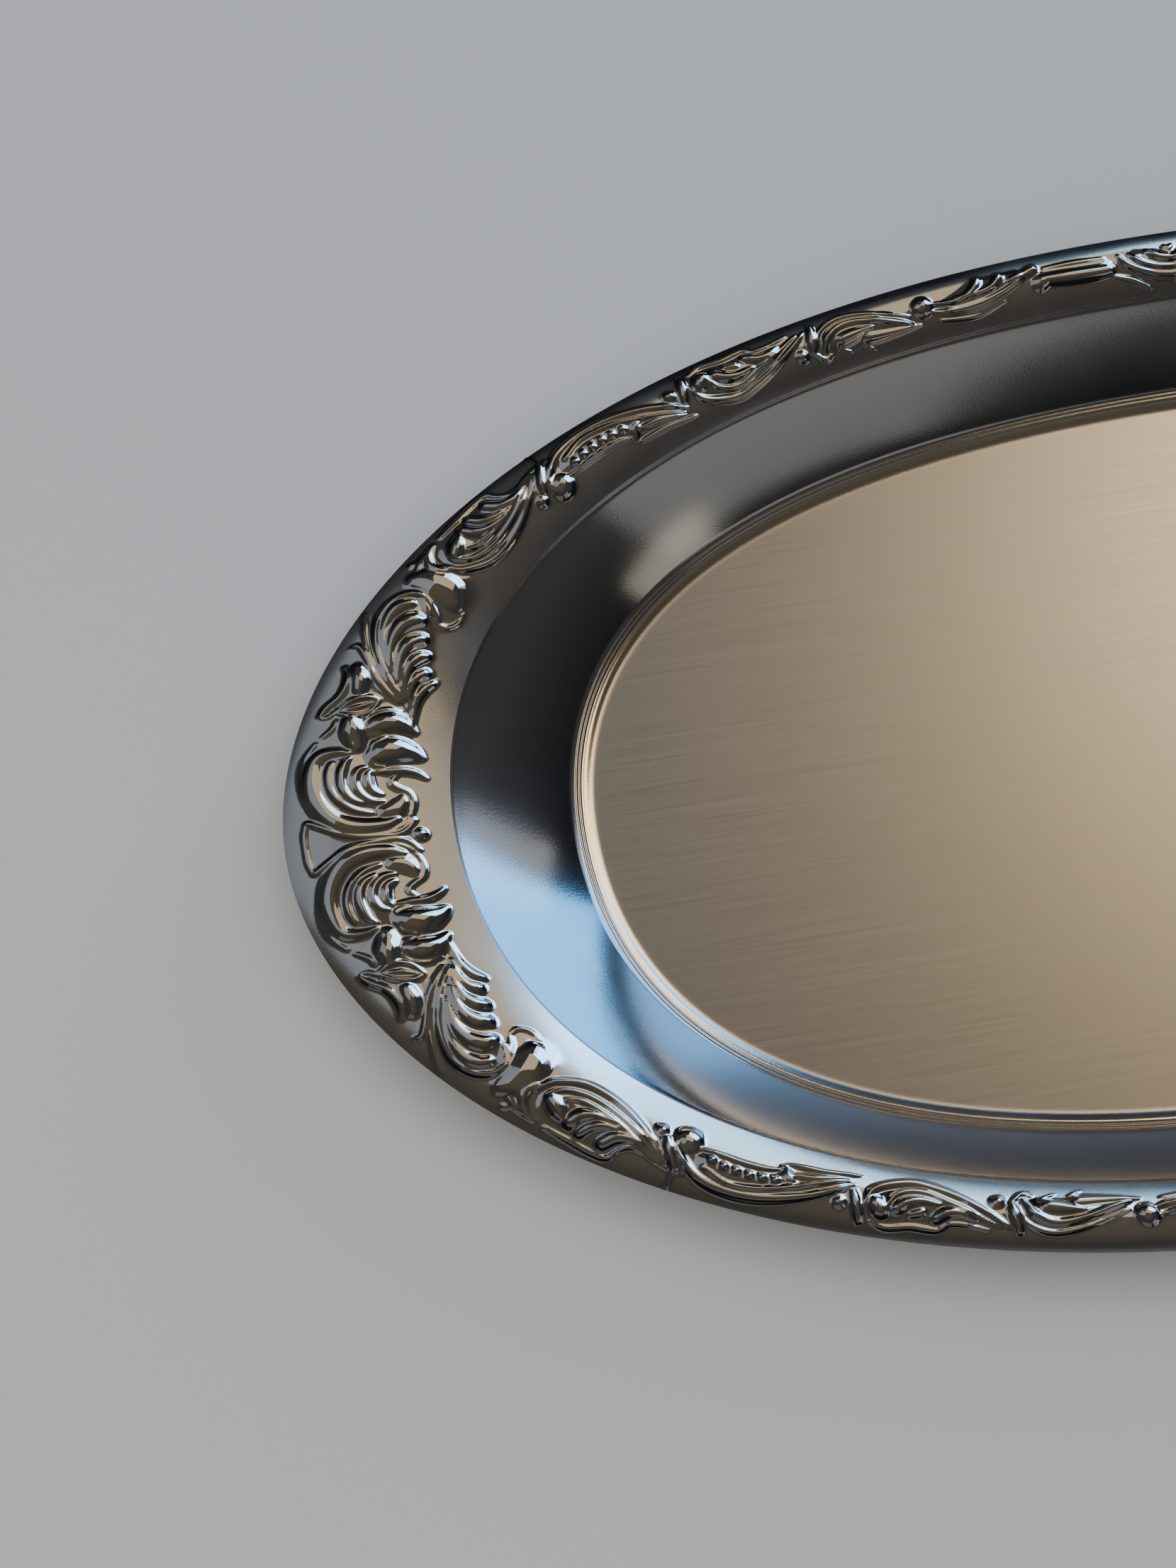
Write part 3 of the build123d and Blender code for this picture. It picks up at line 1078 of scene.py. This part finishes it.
def brushed_steel():
    recipe = Recipe("brushed_steel")
    place = recipe.node("ShaderNodeTexCoord").outputs["Object"]
    parts = recipe.node("ShaderNodeSeparateXYZ")
    recipe.join(place, parts.inputs[0])
    on_base = recipe.remap(parts.outputs["Z"], BASE_LEVEL, (1, 0))
    hairs = recipe.noise(HAIR_STRETCH, scale=5, detail=3)
    skin = recipe.noise(EVEN, SKIN_SCALE, SKIN_DETAIL)
    cloud = recipe.noise(EVEN, scale=40, detail=2)
    rough_base = recipe.remap(hairs, NOISE_MIDDLE, BASE_ROUGHNESS)
    rough_wall = recipe.remap(cloud, NOISE_MIDDLE, WALL_ROUGHNESS)
    roughness = recipe.mix(on_base, rough_wall, rough_base)
    recipe.join(roughness, recipe.shader.inputs["Roughness"])
    skin_strength = recipe.remap(on_base, (0, 1), (WALL_GRAIN, BASE_GRAIN))
    hair_strength = recipe.remap(on_base, (0, 1), (0, HAIR_GRAIN))
    grain = recipe.bump(skin, SKIN_DEPTH, skin_strength)
    brushing = recipe.bump(hairs, HAIR_DEPTH, hair_strength)
    recipe.join(grain.outputs["Normal"], brushing.inputs["Normal"])
    recipe.join(brushing.outputs["Normal"], recipe.shader.inputs["Normal"])
    return recipe.material


well.data.materials.append(brushed_steel())
print(f"{well.data.materials[0].name} on the well")

# %% [markdown]
# The frame has one body, which the tray is, and one plain solid. All nine pieces ride on that
# body and together take the solid's place.

# %% Tie the pieces to the frame
for piece in [*rim_pieces, well]:
    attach(piece, "root")
    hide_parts("pressed_tray")
print(f"{len(rim_pieces) + 1} pieces ride on the tray's body")

# %% [markdown]
# The studio's floor is plain, pale and matt. The bright metal would mirror it in every slope
# that leans outwards and lose its dark lines, so the floor is hidden from reflections only.

# %% The floor
FLOOR_SIZE = 3
FLOOR_PAINT = (0.72, 0.72, 0.71, 1)

bm = bmesh.new()
bmesh.ops.create_grid(bm, x_segments=1, y_segments=1, size=FLOOR_SIZE)
floor_mesh = bpy.data.meshes.new("floor")
bm.to_mesh(floor_mesh)
bm.free()
floor = bpy.data.objects.new("floor", floor_mesh)
bpy.context.collection.objects.link(floor)
pale = bpy.data.materials.new("pale_floor")
pale.use_nodes = True
paint = pale.node_tree.nodes["Principled BSDF"]
paint.inputs["Base Color"].default_value = FLOOR_PAINT
paint.inputs["Roughness"].default_value = 0.9
floor.data.materials.append(pale)
floor.visible_glossy = False
print(f"floor {2 * FLOOR_SIZE} m square")

# %% [markdown]
# Polished steel has no colour of its own: it shows whatever stands round it. So each soft panel
# is placed where one part of the tray looks. A cool window at the back right is mirrored by the
# wall at the left end and by the slopes of the ornament, with a pale curtain beside it. Weak
# panels at the front and on the left give the far wall and the outer margin their grey, and a
# small low one at the front right puts a pale gleam on the wall. The large panel overhead lights
# the floor and isn't mirrored at all.

# %% The panels
CENTRE = (0, 0, 0)
WHITE = (1, 1, 1)
WARM_WHITE = (1.0, 0.98, 0.94)


def panel(name, place, size, power, colour, seen_in_metal=True):
    """A soft rectangular lamp that looks at the middle of the tray. Sizes in metres, power in W."""
    light = bpy.data.lights.new(name, "AREA")
    light.shape = "RECTANGLE"
    light.size, light.size_y = size
    light.energy = power
    light.color = colour
    lamp = bpy.data.objects.new(name, light)
    bpy.context.collection.objects.link(lamp)
    lamp.location = place
    lamp.rotation_euler = (Vector(CENTRE) - Vector(place)).to_track_quat("-Z", "Y").to_euler()
    lamp.visible_glossy = seen_in_metal
    return lamp


panel("cool_window", (0.985, 0.945, 0.61), (0.72, 1.05), 7.2, (0.15, 0.50, 1.0))
panel("pale_curtain", (1.19, 0.650, 0.634), (0.26, 0.50), 0.17, WHITE)
panel("left_glow", (-0.62, 0.52, 1.15), (0.9, 0.9), 0.8, (0.78, 0.88, 1.0))
panel("far_gleam", (1.07, -0.84, 0.34), (0.40, 0.22), 0.12, (1.0, 0.92, 0.72))
panel("front_fill", (0.764, -1.013, 0.592), (0.66, 0.6), 0.25, WARM_WHITE)
panel("side_fill", (-0.536, -1.150, 0.592), (1.75, 0.6), 0.33, WARM_WHITE)
panel("floor_fill", (-0.3, -0.2, 1.6), (2.4, 2.4), 26, WHITE, seen_in_metal=False)
print(f"{len(bpy.data.lights)} panels")

# %% [markdown]
# Three lamps are shaded, as a studio shades them with black card, so that each falls on one
# part only. A warm panel browns the margins of the rim, a lamp beside the window gives the
# ornament its glints, and an amber lamp warms the brushed base.

# %% Lamps for one part
def shine_only_on(lamp, pieces):
    """Lets only these pieces catch the lamp."""
    lit = bpy.data.collections.new(f"lit_by_{lamp.name}")
    for piece in pieces:
        lit.objects.link(piece)
    lamp.light_linking.receiver_collection = lit
    print(f"{lamp.name} lights {len(pieces)} pieces")


warm_panel = panel("warm_panel", (0.33, 0.76, 1.15), (0.8, 0.8), 1.4, (1.0, 0.78, 0.48))
glint = panel("glint", (0.87, 1.06, 0.64), (0.95, 0.9), 9.0, (0.50, 0.78, 1.0))
base_lamp = panel("base_lamp", (0.56, 0.50, 1.0), (0.5, 0.5), 2.9, (1.0, 0.70, 0.36))
shine_only_on(warm_panel, rim_pieces)
shine_only_on(glint, rim_pieces)
shine_only_on(base_lamp, [well])

# %% [markdown]
# Beyond the panels the metal mirrors the room itself. The room is dark round the horizon, dim
# above and a little lighter below, like a shaded interior over a pale floor. The camera doesn't
# see this room but a plain pale wall.

# %% The dim room
PALE_WALL = (0.62, 0.62, 0.61, 1)
ROOM = (
    (0.0, (0.12, 0.12, 0.12)),  # straight down
    (0.27, (0.07, 0.07, 0.07)),
    (0.42, (0.008, 0.008, 0.008)),  # just under the horizon, which is at 0.5
    (0.61, (0.012, 0.012, 0.013)),
    (0.75, (0.055, 0.055, 0.056)),
    (0.86, (0.050, 0.046, 0.040)),
    (1.0, (0.12, 0.100, 0.070)),  # straight up
)


def room_world():
    """The room's shades by direction. The camera itself sees the pale wall."""
    world = bpy.data.worlds.new("dim_room")
    world.use_nodes = True
    nodes, links = world.node_tree.nodes, world.node_tree.links
    where = nodes.new("ShaderNodeTexCoord")
    parts = nodes.new("ShaderNodeSeparateXYZ")
    level = nodes.new("ShaderNodeMath")
    level.operation = "MULTIPLY_ADD"
    level.inputs[1].default_value = 0.5
    level.inputs[2].default_value = 0.5
    shades = nodes.new("ShaderNodeValToRGB")
    stops = shades.color_ramp.elements
    for _ in ROOM[2:]:
        stops.new(0.5)
    for stop, (position, colour) in zip(stops, ROOM):
        stop.position = position
        stop.color = (*colour, 1)
    seen = nodes.new("ShaderNodeLightPath")
    pick_view = nodes.new("ShaderNodeMix")
    pick_view.data_type = "RGBA"
    room, wall, picked = pick_view.inputs[6], pick_view.inputs[7], pick_view.outputs[2]
    wall.default_value = PALE_WALL
    links.new(where.outputs["Generated"], parts.inputs[0])
    links.new(parts.outputs["Z"], level.inputs[0])
    links.new(level.outputs[0], shades.inputs["Fac"])
    links.new(seen.outputs["Is Camera Ray"], pick_view.inputs[0])
    links.new(shades.outputs["Color"], room)
    links.new(picked, nodes["Background"].inputs["Color"])
    return world


bpy.context.scene.world = room_world()
print(f"room with {len(ROOM)} shades from floor to ceiling")

# %% [markdown]
# The camera hangs over the tray's front left quarter, tilted down steeply and turned a little,
# so that the left end of the tray fills the upright picture. A fairly long lens keeps the oval
# from looking stretched. The three directions of the picture are worked out from the angles,
# because they are easier to check than a rotation.

# %% The camera
TURN, TILT, ROLL = radians(12.18), radians(68.48), radians(-2.31)
CAMERA_PLACE = (-0.1710, -0.1871, 0.5151)
FILM_WIDTH, LENS = 36, 91.14

forward = Vector((sin(TURN) * cos(TILT), cos(TURN) * cos(TILT), -sin(TILT)))
level_right = Vector((cos(TURN), -sin(TURN), 0))
level_down = forward.cross(level_right)
right = cos(ROLL) * level_right + sin(ROLL) * level_down
down = -sin(ROLL) * level_right + cos(ROLL) * level_down

lens = bpy.data.cameras.new("camera")
lens.sensor_fit = "HORIZONTAL"
lens.sensor_width = FILM_WIDTH
lens.lens = LENS
lens.clip_start = 0.01
camera = bpy.data.objects.new("camera", lens)
bpy.context.collection.objects.link(camera)
turned = Matrix((right, -down, -forward)).transposed().to_4x4()
camera.matrix_world = Matrix.Translation(CAMERA_PLACE) @ turned
bpy.context.scene.camera = camera
print(f"camera {camera.location[2] / mm:.0f} mm over the floor, lens {lens.lens:.1f} mm")
